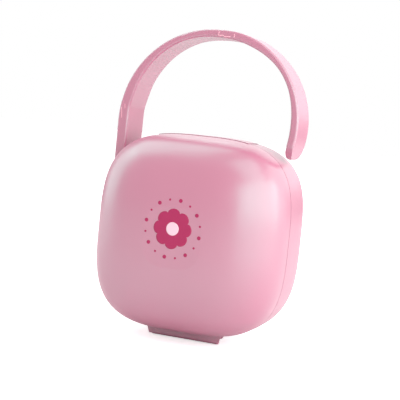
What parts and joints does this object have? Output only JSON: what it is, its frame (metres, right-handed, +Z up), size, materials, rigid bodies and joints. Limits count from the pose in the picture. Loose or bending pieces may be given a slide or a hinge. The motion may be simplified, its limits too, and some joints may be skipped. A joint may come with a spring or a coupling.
{
  "type": "pacifier sterilizer case",
  "caption": "Squircle clamshell case in glossy plastic with a bottom hinge, a clasp on top, a swinging C-shaped carrying hook and a lift-out rack inside.",
  "frame": {"origin": "below the middle of the case, at the level of the hinge barrel's underside (bottom centre of the bounding box)", "axes": "+Z up through the handle, -Y towards the front cover, +X towards the handle's free end"},
  "size_m": [0.0644, 0.0514, 0.103],
  "materials": {
    "pink_plastic": "moulded polypropylene with a high gloss",
    "pin_plastic": "moulded acetal, satin",
    "rack_plastic": "natural polypropylene, satin"
  },
  "bodies": {
    "shell": {"rear_shell": "pink_plastic", "hinge_pin": "pin_plastic", "clasp_pin": "pin_plastic", "handle_pin": "pin_plastic"},
    "cover": {"front_cover": "pink_plastic"},
    "clasp": {"top_clasp": "pink_plastic"},
    "handle": {"carry_handle": "pink_plastic"},
    "rack": {"soother_rack": "rack_plastic"}
  },
  "joints": [
    {"name": "cover_hinge", "type": "hinge", "parent": "shell", "child": "cover", "pos_m": [0, -0.004, 0.0015], "axis": [1, 0, 0], "range_deg": [0, 150]},
    {"name": "clasp_swing", "type": "hinge", "parent": "shell", "child": "clasp", "pos_m": [0, 0.0013, 0.064], "axis": [-1, 0, 0], "range_deg": [0, 45]},
    {"name": "handle_pivot", "type": "hinge", "parent": "shell", "child": "handle", "pos_m": [-0.0254, 0.0034, 0.0536], "axis": [0, -1, 0], "range_deg": [0, 60]},
    {"name": "rack_lift", "type": "slide", "parent": "shell", "child": "rack", "axis": [0, -1, 0], "range_m": [0, 0.018]}
  ]
}
